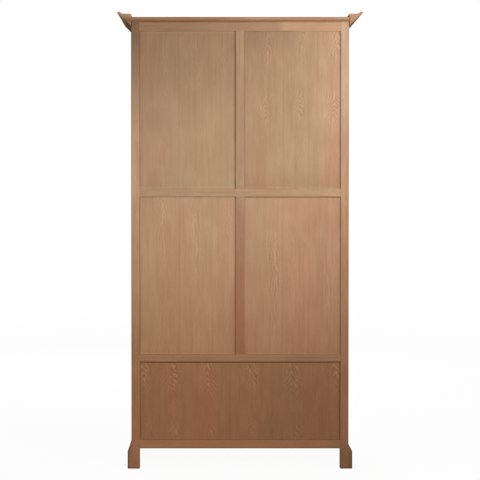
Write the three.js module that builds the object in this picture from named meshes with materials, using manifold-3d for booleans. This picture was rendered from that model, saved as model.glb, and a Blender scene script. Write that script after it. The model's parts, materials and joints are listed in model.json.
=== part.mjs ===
// A tall country wardrobe: two doors over two deep drawers, in millimetres with +Z up.
// The front faces -Y, the framed back faces +Y, and the origin is on the floor under the middle.

import * as THREE from 'three';
import { mergeVertices } from 'three/addons/utils/BufferGeometryUtils.js';
import Module from 'manifold-3d';

const wasm = await Module();
wasm.setup();

// Overall sizes
const height = 2000;
const bodyWidth = 952;
const bodyDepth = 560;
const topOverhangFront = 35;
const topOverhangBack = 5;

// Heights of the back frame, from the floor up
const footLift = 89;
const bottomRailHeight = 37;
const baseOpeningHeight = 344;
const waistRailHeight = 32;
const lowerPanelHeight = 692;
const midRailHeight = 34;
const topRailHeight = 43;

// Posts, rails and stiles
const postWidth = 36;
const postDepth = 40;
const railThickness = 24;
const centreStileWidth = 38;

// Flared feet and base rails
const flareReach = 17;
const flareShoulder = 76;
const flareHeight = 25;
const baseRailLift = 60;

// Panels and the grooves that hold them
const panelThickness = 6;
const panelRecess = 7;
const grooveDepth = 8;
const grooveClearance = 0.3;

// Hairline between two pieces that meet face to face
const seam = 0.1;
// How far a cutting block runs past the face that it opens
const overrun = 5;

// Top board and ears
const topBoardThickness = 18;
const earTipRise = 23;
const earReach = 62;
const earTipWidth = 13;
const earTipSlope = 2.5;
const earDrop = 21;
const earShelfRise = 14;
const earCoveWidth = 16;

// Front rails
const stopDepth = 12;
const stopDrop = 12;
const stopGap = 0.6;

// Floors, shelf and pole
const wardrobeFloorThickness = 18;
const baseBoardThickness = 12;
const dividerThickness = 20;
const shelfThickness = 18;
const shelfTopDrop = 220;
const shelfSetback = 9;
const cleatThickness = 18;
const cleatHeight = 90;
const cleatLap = 12;
const poleRadius = 14;
const poleSeatDepth = 10;
const poleClearance = 0.3;
const poleOffset = 15;

// Doors
const doorThickness = 24;
const doorSideGap = 2.5;
const doorMeetingGap = 3;
const doorEndGap = 3;
const doorStileWidth = 60;
const doorTopRailHeight = 62;
const doorBottomRailHeight = 74;
const doorPanelThickness = 8;
const doorPanelRecess = 5;
const pivotRadius = 5;
const pivotClearance = 0.5;
const pivotReach = 9;
const pivotEndGap = 0.3;
const pivotRoot = 6;

// Brass plates and drop pulls
const plateThickness = 2;
const doorPlateRadius = 54;
const doorPlateInset = 1;
const doorPlateHeight = 1150;
const drawerPlateRadius = 38;
const pinRise = 20;
const doorPullInset = 24;
const pinStandoff = 8;
const pinRadius = 2;
const pinClearance = 0.4;
const barrelRadius = 3.6;
const barrelLength = 14;
const lugThickness = 3;
const lugRadius = 4.5;
const dropLength = 54;
const dropRadius = 7.4;
const dropNeckRadius = 2.4;

// Drawers
const drawerFrontThickness = 22;
const drawerGap = 2;
const drawerBoxGap = 4;
const drawerBackGap = 44;
const drawerWall = 12;
const drawerBottom = 9;
const drawerRunnerLift = 5;
const drawerRunnerGap = 0.4;
const drawerTopDrop = 16;

// Numbers of sides on the round pieces
const poleSides = 32;
const pivotSides = 24;
const pinSides = 16;
const plateSides = 40;
const dropSides = 16;
const arcSteps = 10;
const coveSteps = 6;

// Places that follow from the sizes
const halfBody = bodyWidth / 2;
const halfOpening = halfBody - postWidth;
const topBoardTop = height - earTipRise;
const topBoardUnder = topBoardTop - topBoardThickness;
const bottomRailTop = footLift + bottomRailHeight;
const waistRailUnder = bottomRailTop + baseOpeningHeight;
const waistRailTop = waistRailUnder + waistRailHeight;
const midRailUnder = waistRailTop + lowerPanelHeight;
const midRailTop = midRailUnder + midRailHeight;
const topRailUnder = topBoardUnder - topRailHeight;
const totalDepth = topOverhangFront + bodyDepth + topOverhangBack;
const topFront = -totalDepth / 2;
const topBack = totalDepth / 2;
const bodyFront = topFront + topOverhangFront;
const bodyBack = topBack - topOverhangBack;
const frontRailBack = bodyFront + railThickness;
const backRailFront = bodyBack - railThickness;
const frontPostBack = bodyFront + postDepth;
const backPostFront = bodyBack - postDepth;
const sideRailInner = halfBody - railThickness;
const backPanelSpan = [bodyBack - panelRecess - panelThickness, bodyBack - panelRecess];
const sidePanelSpan = [halfBody - panelRecess - panelThickness, halfBody - panelRecess];
const shelfTop = topRailUnder - shelfTopDrop;
const shelfUnder = shelfTop - shelfThickness;
const poleHeight = shelfUnder - cleatHeight / 2;

// Finishes
const frameWood = () => new THREE.MeshStandardMaterial({ color: 0xac8465, roughness: 0.55, metalness: 0 });
const panelWood = () => new THREE.MeshStandardMaterial({ color: 0xb28a69, roughness: 0.5, metalness: 0 });
const insideWood = () => new THREE.MeshStandardMaterial({ color: 0xc2a27e, roughness: 0.65, metalness: 0 });
const agedBrass = () => new THREE.MeshStandardMaterial({ color: 0xa07c3e, roughness: 0.35, metalness: 1 });

// Spans and outlines

// The two ends of a span, lowest first.
function between(a, b) {
  return [Math.min(a, b), Math.max(a, b)];
}

// The span from one distance to another on one side of the middle plane.
function onSide(side, a, b) {
  return between(side * a, side * b);
}

// A span made longer at both ends.
function widened([low, high], amount) {
  return [low - amount, high + amount];
}

// An outline's points with their first coordinate on one side of the middle.
function sided(side, points) {
  return points.map(([across, up]) => [side * across, up]);
}

// The points of an arc, from one angle to another.
function arc(centreX, centreY, radius, fromAngle, toAngle, steps) {
  return Array.from({ length: steps + 1 }, (_, i) => {
    const angle = fromAngle + ((toAngle - fromAngle) * i) / steps;
    return [centreX + radius * Math.cos(angle), centreY + radius * Math.sin(angle)];
  });
}

// Solids

// A block that fills three spans.
function block(x, y, z) {
  const geometry = new THREE.BoxGeometry(x[1] - x[0], y[1] - y[0], z[1] - z[0]);
  geometry.translate((x[0] + x[1]) / 2, (y[0] + y[1]) / 2, (z[0] + z[1]) / 2);
  return geometry;
}

// A board between its neighbours, which leaves half a seam at each of its faces.
function board(x, y, z) {
  return block(widened(x, -seam / 2), widened(y, -seam / 2), widened(z, -seam / 2));
}

function extruded(points, length) {
  const shape = new THREE.Shape(points.map(([x, y]) => new THREE.Vector2(x, y)));
  return new THREE.ExtrudeGeometry(shape, { depth: length, bevelEnabled: false });
}

// An outline in X and Z, run along Y.
function prismAlongY(points, [low, high]) {
  const geometry = extruded(points, high - low);
  geometry.rotateX(Math.PI / 2);
  geometry.translate(0, high, 0);
  return geometry;
}

// An outline in Y and Z, run along X.
function prismAlongX(points, [low, high]) {
  const geometry = extruded(points, high - low);
  geometry.rotateX(Math.PI / 2);
  geometry.rotateZ(Math.PI / 2);
  geometry.translate(low, 0, 0);
  return geometry;
}

// An outline in X and Y, run along Z.
function prismAlongZ(points, [low, high]) {
  const geometry = extruded(points, high - low);
  geometry.translate(0, 0, low);
  return geometry;
}

// A round bar along X.
function barAlongX(radius, [low, high], y, z, sides) {
  const geometry = new THREE.CylinderGeometry(radius, radius, high - low, sides);
  geometry.rotateZ(Math.PI / 2);
  geometry.translate((low + high) / 2, y, z);
  return geometry;
}

// A round bar along Z.
function barAlongZ(radius, [low, high], x, y, sides) {
  const geometry = new THREE.CylinderGeometry(radius, radius, high - low, sides);
  geometry.rotateX(Math.PI / 2);
  geometry.translate(x, y, (low + high) / 2);
  return geometry;
}

// Joins and cuts

function toSolid(geometry) {
  const bare = geometry.clone();
  bare.deleteAttribute('normal');
  bare.deleteAttribute('uv');
  const merged = mergeVertices(bare);
  return new wasm.Manifold(new wasm.Mesh({
    numProp: 3,
    vertProperties: merged.attributes.position.array,
    triVerts: new Uint32Array(merged.index.array),
  }));
}

function toGeometry(solid) {
  const mesh = solid.getMesh();
  const geometry = new THREE.BufferGeometry();
  geometry.setAttribute('position', new THREE.BufferAttribute(new Float32Array(mesh.vertProperties), 3));
  geometry.setIndex(new THREE.BufferAttribute(new Uint32Array(mesh.triVerts), 1));
  const faceted = geometry.toNonIndexed();
  faceted.computeVertexNormals();
  return faceted;
}

function cut(geometry, tools) {
  return toGeometry(tools.reduce((solid, tool) => solid.subtract(toSolid(tool)), toSolid(geometry)));
}

function joined(geometries) {
  return toGeometry(geometries.map(toSolid).reduce((whole, solid) => whole.add(solid)));
}

function add(group, name, geometry, finish) {
  const mesh = new THREE.Mesh(geometry, finish());
  mesh.name = name;
  group.add(mesh);
}

// Grooves

// The span of a groove's width, for a panel's thickness span.
function grooveAcross(panelSpan) {
  return widened(panelSpan, grooveClearance);
}

// The span of a groove's depth, from the face at one place into the wood that lies towards a direction.
function grooveInto(face, direction) {
  return between(face - direction * overrun, face + direction * grooveDepth);
}

// The span of a panel across its opening: it enters the groove at each end, short of the bottom.
function panelAcross(opening) {
  return widened(opening, grooveDepth - grooveClearance);
}

// The span of a groove along a post, past its panel's ends.
function grooveAlong(opening) {
  return widened(opening, grooveDepth);
}

const baseOpening = [bottomRailTop, waistRailUnder];
const lowerOpening = [waistRailTop, midRailUnder];
const upperOpening = [midRailTop, topRailUnder];
const tallOpening = [waistRailTop, topRailUnder];
const betweenPosts = [-halfOpening, halfOpening];
const betweenSidePosts = [frontPostBack, backPostFront];
const backRailSpan = [backRailFront, bodyBack];

// The outer line of the feet and base rails, from a height up to the straight side.
function flareLine(lift) {
  return [
    [halfBody + flareReach, lift],
    [halfBody + flareReach, flareShoulder],
    [halfBody, flareShoulder + flareHeight],
  ];
}

// Carcass

// A corner post with its flared foot, grooved for the side panels and, at the back, for the back panels.
function post(side, atBack) {
  const outline = [
    [halfOpening, 0],
    ...flareLine(0),
    [halfBody, topBoardUnder],
    [halfOpening, topBoardUnder],
  ];
  const along = atBack ? [backPostFront, bodyBack] : [bodyFront, frontPostBack];
  const sideFace = atBack ? backPostFront : frontPostBack;
  const intoPost = atBack ? 1 : -1;
  const grooves = [baseOpening, tallOpening].map((opening) => block(
    onSide(side, ...grooveAcross(sidePanelSpan)),
    grooveInto(sideFace, intoPost),
    grooveAlong(opening),
  ));
  if (atBack) {
    for (const opening of [baseOpening, lowerOpening, upperOpening]) {
      const into = grooveInto(halfOpening, 1);
      grooves.push(block(onSide(side, ...into), grooveAcross(backPanelSpan), grooveAlong(opening)));
    }
  }
  return cut(prismAlongY(sided(side, outline), along), grooves);
}

// A rail of the back frame between the posts, grooved below and above where panels meet it.
function backRail([under, top], panelBelow, panelAbove) {
  const grooves = [];
  if (panelBelow) {
    grooves.push(block(widened(betweenPosts, overrun), grooveAcross(backPanelSpan), grooveInto(under, 1)));
  }
  if (panelAbove) {
    grooves.push(block(widened(betweenPosts, overrun), grooveAcross(backPanelSpan), grooveInto(top, -1)));
  }
  return cut(board(betweenPosts, backRailSpan, [under, top]), grooves);
}

// The mid rail crosses the stile: its inner half is cut away where the stile passes in front of it.
const halvingPlane = (backRailFront + bodyBack) / 2;

function backMidRail() {
  const rail = toSolid(backRail([midRailUnder, midRailTop], true, true));
  const notch = block(
    widened([-centreStileWidth / 2, centreStileWidth / 2], seam / 2),
    [backRailFront - overrun, halvingPlane + seam / 2],
    widened([midRailUnder, midRailTop], overrun),
  );
  return toGeometry(rail.subtract(toSolid(notch)));
}

// The centre stile of the back runs from the waist rail to the top rail, grooved on both edges.
function backStile() {
  const half = centreStileWidth / 2;
  const notch = block(
    widened([-half, half], overrun),
    [halvingPlane - seam / 2, bodyBack + overrun],
    widened([midRailUnder, midRailTop], seam / 2),
  );
  const grooves = [-1, 1].map((side) => block(
    onSide(side, ...grooveInto(half, -1)),
    grooveAcross(backPanelSpan),
    widened(tallOpening, overrun),
  ));
  return cut(board([-half, half], backRailSpan, tallOpening), [notch, ...grooves]);
}

function backPanel(side, opening) {
  const across = onSide(side, ...panelAcross([centreStileWidth / 2, halfOpening]));
  return block(across, backPanelSpan, panelAcross(opening));
}

// A rail in one side of the carcass, grooved below and above where panels meet it.
function sideRail(side, [under, top], panelBelow, panelAbove) {
  const grooves = [];
  const across = onSide(side, ...grooveAcross(sidePanelSpan));
  if (panelBelow) {
    grooves.push(block(across, widened(betweenSidePosts, overrun), grooveInto(under, 1)));
  }
  if (panelAbove) {
    grooves.push(block(across, widened(betweenSidePosts, overrun), grooveInto(top, -1)));
  }
  return cut(board(onSide(side, sideRailInner, halfBody), betweenSidePosts, [under, top]), grooves);
}

// The base rail of a side carries the feet's flare from front to back.
function sideBaseRail(side) {
  const outline = [
    [sideRailInner, baseRailLift],
    ...flareLine(baseRailLift),
    [halfBody, bottomRailTop],
    [sideRailInner, bottomRailTop],
  ];
  const groove = block(
    onSide(side, ...grooveAcross(sidePanelSpan)),
    widened(betweenSidePosts, overrun),
    grooveInto(bottomRailTop, -1),
  );
  return cut(prismAlongY(sided(side, outline), widened(betweenSidePosts, -seam / 2)), [groove]);
}

function sidePanel(side, opening) {
  return block(onSide(side, ...sidePanelSpan), panelAcross(betweenSidePosts), panelAcross(opening));
}

// An ear lies along the top board's edge and the posts' outer faces, and turns up and out to its tip.
function ear(side) {
  const inner = halfBody + seam / 2;
  const shelf = topBoardTop + earShelfRise;
  const tipOuter = halfBody + earReach;
  const tipInner = tipOuter - earTipWidth;
  const cove = Array.from({ length: coveSteps }, (_, i) => {
    const share = (i + 1) / coveSteps;
    return [tipInner - earCoveWidth * share, shelf + (height - shelf) * (1 - share) ** 2];
  });
  const outline = [
    [inner, topBoardUnder - earDrop],
    [tipOuter, height - earTipSlope],
    [tipInner, height],
    ...cove,
    [inner, shelf],
  ];
  return prismAlongY(sided(side, outline), [topFront, topBack]);
}

function topBoard() {
  return board([-halfBody, halfBody], [topFront, topBack], [topBoardUnder, topBoardTop]);
}

// The front top rail carries the lip that stops the doors, and the holes of their top pivots.
const pivotAcross = halfOpening - doorSideGap - doorThickness / 2;
const pivotBack = bodyFront + doorThickness / 2;

function pivotHole(side, span) {
  return barAlongZ(pivotRadius + pivotClearance, span, side * pivotAcross, pivotBack, pivotSides);
}

function frontTopRail() {
  const lipFront = bodyFront + doorThickness + stopGap;
  const lipBack = lipFront + stopDepth;
  const outline = [
    [bodyFront, topRailUnder],
    [lipFront, topRailUnder],
    [lipFront, topRailUnder - stopDrop],
    [lipBack, topRailUnder - stopDrop],
    [lipBack, topBoardUnder - seam / 2],
    [bodyFront, topBoardUnder - seam / 2],
  ];
  const rail = prismAlongX(outline, widened(betweenPosts, -seam / 2));
  const top = topRailUnder + pivotReach + pivotEndGap;
  return cut(rail, [-1, 1].map((side) => pivotHole(side, [topRailUnder - overrun, top])));
}

// The front waist rail carries the doors' bottom pivots.
function frontWaistRail() {
  const rail = board(betweenPosts, [bodyFront, frontRailBack], [waistRailUnder, waistRailTop]);
  const floor = waistRailTop - pivotReach - pivotEndGap;
  return cut(rail, [-1, 1].map((side) => pivotHole(side, [floor, waistRailTop + overrun])));
}

function frontBottomRail() {
  return board(betweenPosts, [bodyFront, frontRailBack], [footLift, bottomRailTop]);
}

// A floor that fills the carcass between the rails and is notched round the four posts.
function notchedFloor(span) {
  const across = sideRailInner - seam / 2;
  const atPosts = halfOpening - seam / 2;
  const front = frontRailBack + seam / 2;
  const back = backRailFront - seam / 2;
  const frontPosts = frontPostBack + seam / 2;
  const backPosts = backPostFront - seam / 2;
  const rightHalf = [
    [atPosts, front],
    [atPosts, frontPosts],
    [across, frontPosts],
    [across, backPosts],
    [atPosts, backPosts],
    [atPosts, back],
  ];
  const leftHalf = sided(-1, rightHalf).reverse();
  return prismAlongZ([...rightHalf, ...leftHalf], widened(span, -seam / 2));
}

// The divider between the drawers stands on the base board, under the wardrobe floor.
function drawerDivider() {
  const floorUnder = waistRailTop - wardrobeFloorThickness - seam / 2;
  const low = bottomRailTop + seam / 2;
  const outline = [
    [bodyFront, low],
    [backRailFront - seam / 2, low],
    [backRailFront - seam / 2, floorUnder],
    [frontRailBack + seam / 2, floorUnder],
    [frontRailBack + seam / 2, waistRailUnder - seam / 2],
    [bodyFront, waistRailUnder - seam / 2],
  ];
  return prismAlongX(outline, [-dividerThickness / 2, dividerThickness / 2]);
}

function shelf() {
  const depth = [frontRailBack + shelfSetback, backRailFront];
  return board(betweenPosts, depth, [shelfUnder, shelfTop]);
}

// A cleat spans from the front post to the back post, and seats one end of the pole.
function cleat(side) {
  const inner = halfOpening - cleatThickness;
  const rail = board(
    onSide(side, inner, halfOpening),
    widened(betweenSidePosts, cleatLap),
    [shelfUnder - cleatHeight, shelfUnder],
  );
  const seat = onSide(side, inner - overrun, inner + poleSeatDepth);
  return cut(rail, [barAlongX(poleRadius + poleClearance, seat, poleOffset, poleHeight, poleSides)]);
}

function hangingPole() {
  const reach = halfOpening - cleatThickness + poleSeatDepth - poleClearance;
  return barAlongX(poleRadius, [-reach, reach], poleOffset, poleHeight, poleSides);
}

function carcass() {
  const group = new THREE.Group();
  for (const [side, name] of [[-1, 'left'], [1, 'right']]) {
    add(group, `front_${name}_post`, post(side, false), frameWood);
    add(group, `back_${name}_post`, post(side, true), frameWood);
    const topRail = sideRail(side, [topRailUnder, topBoardUnder], true, false);
    const waistRail = sideRail(side, [waistRailUnder, waistRailTop], true, true);
    add(group, `${name}_side_top_rail`, topRail, frameWood);
    add(group, `${name}_side_waist_rail`, waistRail, frameWood);
    add(group, `${name}_side_base_rail`, sideBaseRail(side), frameWood);
    add(group, `${name}_side_tall_panel`, sidePanel(side, tallOpening), panelWood);
    add(group, `${name}_side_base_panel`, sidePanel(side, baseOpening), panelWood);
    add(group, `back_upper_${name}_panel`, backPanel(side, upperOpening), panelWood);
    add(group, `back_lower_${name}_panel`, backPanel(side, lowerOpening), panelWood);
    add(group, `top_${name}_ear`, ear(side), frameWood);
    add(group, `${name}_shelf_cleat`, cleat(side), insideWood);
  }
  add(group, 'top_board', topBoard(), frameWood);
  add(group, 'back_top_rail', backRail([topRailUnder, topBoardUnder], true, false), frameWood);
  add(group, 'back_mid_rail', backMidRail(), frameWood);
  add(group, 'back_waist_rail', backRail([waistRailUnder, waistRailTop], true, true), frameWood);
  add(group, 'back_bottom_rail', backRail([footLift, bottomRailTop], false, true), frameWood);
  add(group, 'back_centre_stile', backStile(), frameWood);
  const basePanel = block(panelAcross(betweenPosts), backPanelSpan, panelAcross(baseOpening));
  add(group, 'back_base_panel', basePanel, panelWood);
  add(group, 'front_top_rail', frontTopRail(), frameWood);
  add(group, 'front_waist_rail', frontWaistRail(), frameWood);
  add(group, 'front_bottom_rail', frontBottomRail(), frameWood);
  const floorSpan = [waistRailTop - wardrobeFloorThickness, waistRailTop];
  add(group, 'wardrobe_floor', notchedFloor(floorSpan), insideWood);
  const baseSpan = [bottomRailTop - baseBoardThickness, bottomRailTop];
  add(group, 'base_board', notchedFloor(baseSpan), insideWood);
  add(group, 'drawer_divider', drawerDivider(), frameWood);
  add(group, 'hat_shelf', shelf(), insideWood);
  add(group, 'hanging_pole', hangingPole(), insideWood);
  return group;
}

// Brass plates and pulls

// Two lugs stand out of a plate's face and hold the pull's pin between them. The face looks along -Y.
function lugs(acrossCentre, face) {
  const pinY = face - pinStandoff;
  const outline = [
    [face + plateThickness / 2, lugRadius],
    ...arc(pinY, 0, lugRadius, Math.PI / 2, (Math.PI * 3) / 2, arcSteps),
    [face + plateThickness / 2, -lugRadius],
  ];
  const inner = barrelLength / 2 + pinClearance;
  return [-1, 1].map((side) => {
    const span = onSide(side, inner, inner + lugThickness);
    const lug = prismAlongX(outline.map(([y, z]) => [y, z + pinRise]), span);
    lug.translate(acrossCentre, 0, 0);
    return lug;
  });
}

// A plate with its lugs: the outline is in X and Z, and the back of the plate is at Y = 0.
function pullPlate(outline, acrossCentre) {
  const face = -plateThickness;
  const plate = prismAlongY(outline, [face, -seam / 2]);
  const reach = barrelLength / 2 + pinClearance + lugThickness + overrun;
  const hole = barAlongX(
    pinRadius + pinClearance,
    [acrossCentre - reach, acrossCentre + reach],
    face - pinStandoff,
    pinRise,
    pinSides,
  );
  return cut(joined([plate, ...lugs(acrossCentre, face)]), [hole]);
}

// The radius of the drop at shares of its length below the pin.
const dropShares = [
  [0.05, 1], [0.18, 1.05], [0.4, 1.75], [0.62, 2.6], [0.78, 3.08], [0.9, 2.75], [0.97, 1.7],
];

// A teardrop pull hangs from its barrel, and its pin ends lie in the lugs. Its origin is the pin.
function dropPull() {
  const widest = Math.max(...dropShares.map(([, wide]) => wide));
  const profile = dropShares.map(([down, wide]) => {
    const radius = dropNeckRadius + ((dropRadius - dropNeckRadius) * (wide - 1)) / (widest - 1);
    return new THREE.Vector2(radius, -dropLength * down);
  });
  const lathePoints = [
    new THREE.Vector2(0, -dropLength),
    ...profile.slice().reverse(),
    new THREE.Vector2(0, profile[0].y),
  ];
  const drop = new THREE.LatheGeometry(lathePoints, dropSides);
  drop.rotateX(Math.PI / 2);
  const barrel = barAlongX(barrelRadius, [-barrelLength / 2, barrelLength / 2], 0, 0, pinSides);
  const pinReach = barrelLength / 2 + pinClearance + lugThickness;
  const pin = barAlongX(pinRadius, [-pinReach, pinReach], 0, 0, pinSides);
  return joined([drop, barrel, pin]);
}

// Doors. A door's group stands on its pivot axis at its bottom edge, and "inwards" runs to the middle.

const doorHeight = topRailUnder - waistRailTop - doorEndGap * 2;
const doorMeetingEdge = pivotAcross - doorMeetingGap / 2;
const doorFace = -doorThickness / 2;
const doorDepth = [doorFace, -doorFace];
const doorPanelDepth = [doorFace + doorPanelRecess, doorFace + doorPanelRecess + doorPanelThickness];
const hingeStileInner = doorStileWidth - doorThickness / 2;
const meetingStileInner = doorMeetingEdge - doorStileWidth;
const doorPanelHeights = [doorBottomRailHeight, doorHeight - doorTopRailHeight];

// The hinge stile has a round edge about the pivot axis, and a pivot pin at each end.
function hingeStile(inwards) {
  const half = doorThickness / 2;
  const outline = [
    [hingeStileInner, -half],
    [hingeStileInner, half],
    ...arc(0, 0, half, Math.PI / 2, (Math.PI * 3) / 2, pivotSides / 2),
  ];
  const stile = prismAlongZ(sided(inwards, outline), [0, doorHeight]);
  const pinRun = pivotReach + doorEndGap;
  const bottomPin = barAlongZ(pivotRadius, [-pinRun, pivotRoot], 0, 0, pivotSides);
  const topPin = barAlongZ(pivotRadius, [doorHeight - pivotRoot, doorHeight + pinRun], 0, 0, pivotSides);
  const groove = block(
    onSide(inwards, ...grooveInto(hingeStileInner, -1)),
    grooveAcross(doorPanelDepth),
    grooveAlong(doorPanelHeights),
  );
  return cut(joined([stile, bottomPin, topPin]), [groove]);
}

function meetingStile(inwards) {
  const groove = block(
    onSide(inwards, ...grooveInto(meetingStileInner, 1)),
    grooveAcross(doorPanelDepth),
    grooveAlong(doorPanelHeights),
  );
  const stile = block(onSide(inwards, meetingStileInner, doorMeetingEdge), doorDepth, [0, doorHeight]);
  return cut(stile, [groove]);
}

function doorRail(inwards, heights, edge, intoRail) {
  const span = onSide(inwards, hingeStileInner, meetingStileInner);
  const groove = block(widened(span, overrun), grooveAcross(doorPanelDepth), grooveInto(edge, intoRail));
  return cut(block(widened(span, -seam / 2), doorDepth, heights), [groove]);
}

function doorPanel(inwards) {
  const across = panelAcross([hingeStileInner, meetingStileInner]);
  return block(onSide(inwards, ...across), doorPanelDepth, panelAcross(doorPanelHeights));
}

// The half-round plate sits with its straight edge along the meeting edge.
function doorPlate(inwards) {
  const straight = doorMeetingEdge - doorPlateInset;
  const outline = arc(straight, 0, doorPlateRadius, Math.PI / 2, (Math.PI * 3) / 2, plateSides / 2);
  return pullPlate(sided(inwards, outline), inwards * (straight - doorPullInset));
}

function door(side, name) {
  const inwards = -side;
  const group = new THREE.Group();
  group.position.set(side * pivotAcross, pivotBack, waistRailTop + doorEndGap);
  const [railTop, panelTop] = [doorHeight, doorPanelHeights[1]];
  add(group, `${name}_door_hinge_stile`, hingeStile(inwards), frameWood);
  add(group, `${name}_door_meeting_stile`, meetingStile(inwards), frameWood);
  add(group, `${name}_door_top_rail`, doorRail(inwards, [panelTop, railTop], panelTop, 1), frameWood);
  const bottomRail = doorRail(inwards, [0, doorBottomRailHeight], doorBottomRailHeight, -1);
  add(group, `${name}_door_bottom_rail`, bottomRail, frameWood);
  add(group, `${name}_door_panel`, doorPanel(inwards), panelWood);
  const hardware = new THREE.Group();
  hardware.position.set(0, doorFace, doorPlateHeight - waistRailTop - doorEndGap);
  add(hardware, `${name}_door_plate`, doorPlate(inwards), agedBrass);
  const pull = new THREE.Group();
  const pullAcross = inwards * (doorMeetingEdge - doorPlateInset - doorPullInset);
  pull.position.set(pullAcross, -plateThickness - pinStandoff, pinRise);
  add(pull, `${name}_door_pull`, dropPull(), agedBrass);
  hardware.add(pull);
  group.add(hardware);
  return group;
}

// Drawers. A drawer's group stands at the middle of its front's outer face, on the base board.

const drawerInner = dividerThickness / 2 + drawerGap;
const drawerOuter = halfOpening - drawerGap;
const drawerHalfWidth = (drawerOuter - drawerInner) / 2;
const drawerMiddle = (drawerOuter + drawerInner) / 2;
const drawerFrontTop = baseOpeningHeight - drawerGap;

function drawerFront() {
  return block([-drawerHalfWidth, drawerHalfWidth], [0, drawerFrontThickness], [drawerGap, drawerFrontTop]);
}

// The box is open at the top and closed in front by the drawer front. Its sides are its runners.
function drawerBox() {
  const half = drawerHalfWidth + drawerGap - drawerBoxGap;
  const front = drawerFrontThickness + seam / 2;
  const back = backRailFront - bodyFront - drawerBackGap;
  const low = drawerRunnerGap;
  const bottomUnder = low + drawerRunnerLift;
  const insideHalf = half - drawerWall;
  const insideFront = front + drawerWall;
  const insideBack = back - drawerWall;
  const inside = [insideFront, insideBack];
  const outer = block([-half, half], [front, back], [low, drawerFrontTop - drawerTopDrop]);
  const cavity = block(
    [-insideHalf, insideHalf],
    inside,
    [bottomUnder + drawerBottom, drawerFrontTop + overrun],
  );
  const underside = block(
    [-insideHalf, insideHalf],
    [front - overrun, back + overrun],
    [low - overrun, bottomUnder],
  );
  return cut(outer, [cavity, underside]);
}

function drawerPlate() {
  return pullPlate(arc(0, 0, drawerPlateRadius, 0, Math.PI * 2, plateSides).slice(1), 0);
}

function drawer(side, name) {
  const group = new THREE.Group();
  group.position.set(side * drawerMiddle, bodyFront, bottomRailTop);
  add(group, `${name}_drawer_front`, drawerFront(), panelWood);
  add(group, `${name}_drawer_box`, drawerBox(), insideWood);
  const hardware = new THREE.Group();
  hardware.position.set(0, 0, (drawerGap + drawerFrontTop) / 2);
  add(hardware, `${name}_drawer_plate`, drawerPlate(), agedBrass);
  const pull = new THREE.Group();
  pull.position.set(0, -plateThickness - pinStandoff, pinRise);
  add(pull, `${name}_drawer_pull`, dropPull(), agedBrass);
  hardware.add(pull);
  group.add(hardware);
  return group;
}

const wardrobe = new THREE.Group();
wardrobe.add(carcass());
for (const [side, name] of [[-1, 'left'], [1, 'right']]) {
  wardrobe.add(door(side, name));
  wardrobe.add(drawer(side, name));
}

export default wardrobe;
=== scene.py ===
"""A tall country wardrobe with two doors over two deep drawers.

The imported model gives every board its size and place. This add-on eases their edges, gives them
wood and brass, and adds the small work: beads, dovetails, rims and pins. Lengths are in metres.
The framed back faces +Y, where the camera stands, and the doors face -Y.
"""

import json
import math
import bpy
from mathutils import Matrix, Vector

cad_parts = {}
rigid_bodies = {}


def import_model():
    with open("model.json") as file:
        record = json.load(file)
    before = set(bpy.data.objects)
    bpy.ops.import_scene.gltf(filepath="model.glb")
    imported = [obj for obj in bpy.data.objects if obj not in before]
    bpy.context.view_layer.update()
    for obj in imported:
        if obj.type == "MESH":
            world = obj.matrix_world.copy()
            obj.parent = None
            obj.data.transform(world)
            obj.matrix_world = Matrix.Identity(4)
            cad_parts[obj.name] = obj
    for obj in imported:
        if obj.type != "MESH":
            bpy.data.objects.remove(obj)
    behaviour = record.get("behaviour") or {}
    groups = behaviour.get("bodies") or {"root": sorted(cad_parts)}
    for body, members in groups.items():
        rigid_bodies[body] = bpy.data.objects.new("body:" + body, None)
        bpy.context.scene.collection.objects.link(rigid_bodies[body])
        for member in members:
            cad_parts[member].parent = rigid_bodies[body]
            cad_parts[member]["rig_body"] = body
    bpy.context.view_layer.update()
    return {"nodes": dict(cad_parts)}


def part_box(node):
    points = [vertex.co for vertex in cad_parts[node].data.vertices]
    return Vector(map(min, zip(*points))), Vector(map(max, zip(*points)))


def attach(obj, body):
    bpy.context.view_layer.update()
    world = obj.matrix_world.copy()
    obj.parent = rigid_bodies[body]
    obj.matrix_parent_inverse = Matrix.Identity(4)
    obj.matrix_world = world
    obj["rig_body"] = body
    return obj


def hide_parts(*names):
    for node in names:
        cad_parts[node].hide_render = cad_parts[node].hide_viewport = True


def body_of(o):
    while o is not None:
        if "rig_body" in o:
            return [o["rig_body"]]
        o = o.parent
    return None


bl_info = {
    "name": "Country Wardrobe",
    "version": (1, 0, 0),
    "blender": (4, 5, 0),
    "location": "3D View > Sidebar > Wardrobe",
    "description": "Dresses a tall two-door wardrobe in figured wood and aged brass",
    "category": "Object",
}

import bmesh
import bpy
from bpy.props import FloatProperty, FloatVectorProperty, PointerProperty
from mathutils import Vector

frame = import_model()

# Which way each side lies along X
SIDES = {"left": -1, "right": 1}
# Places nearer than this count as one
TOUCH = 1e-5


def linear(step):
    """One of the 0 to 255 steps of a screen, as light."""
    share = step / 255
    return share / 12.92 if share <= 0.04045 else ((share + 0.055) / 1.055) ** 2.4


# Sizes and colours that a user may change

def dial(label, words, default, **limits):
    return FloatProperty(name=label, description=words, default=default, **limits)


def length(label, words, default):
    return dial(label, words, default, min=0.0, unit="LENGTH", precision=4)


def colour(label, words, *steps):
    limits = {"min": 0.0, "max": 1.0, "subtype": "COLOR"}
    light = [linear(step) for step in steps]
    return FloatVectorProperty(name=label, description=words, default=light, **limits)


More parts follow.
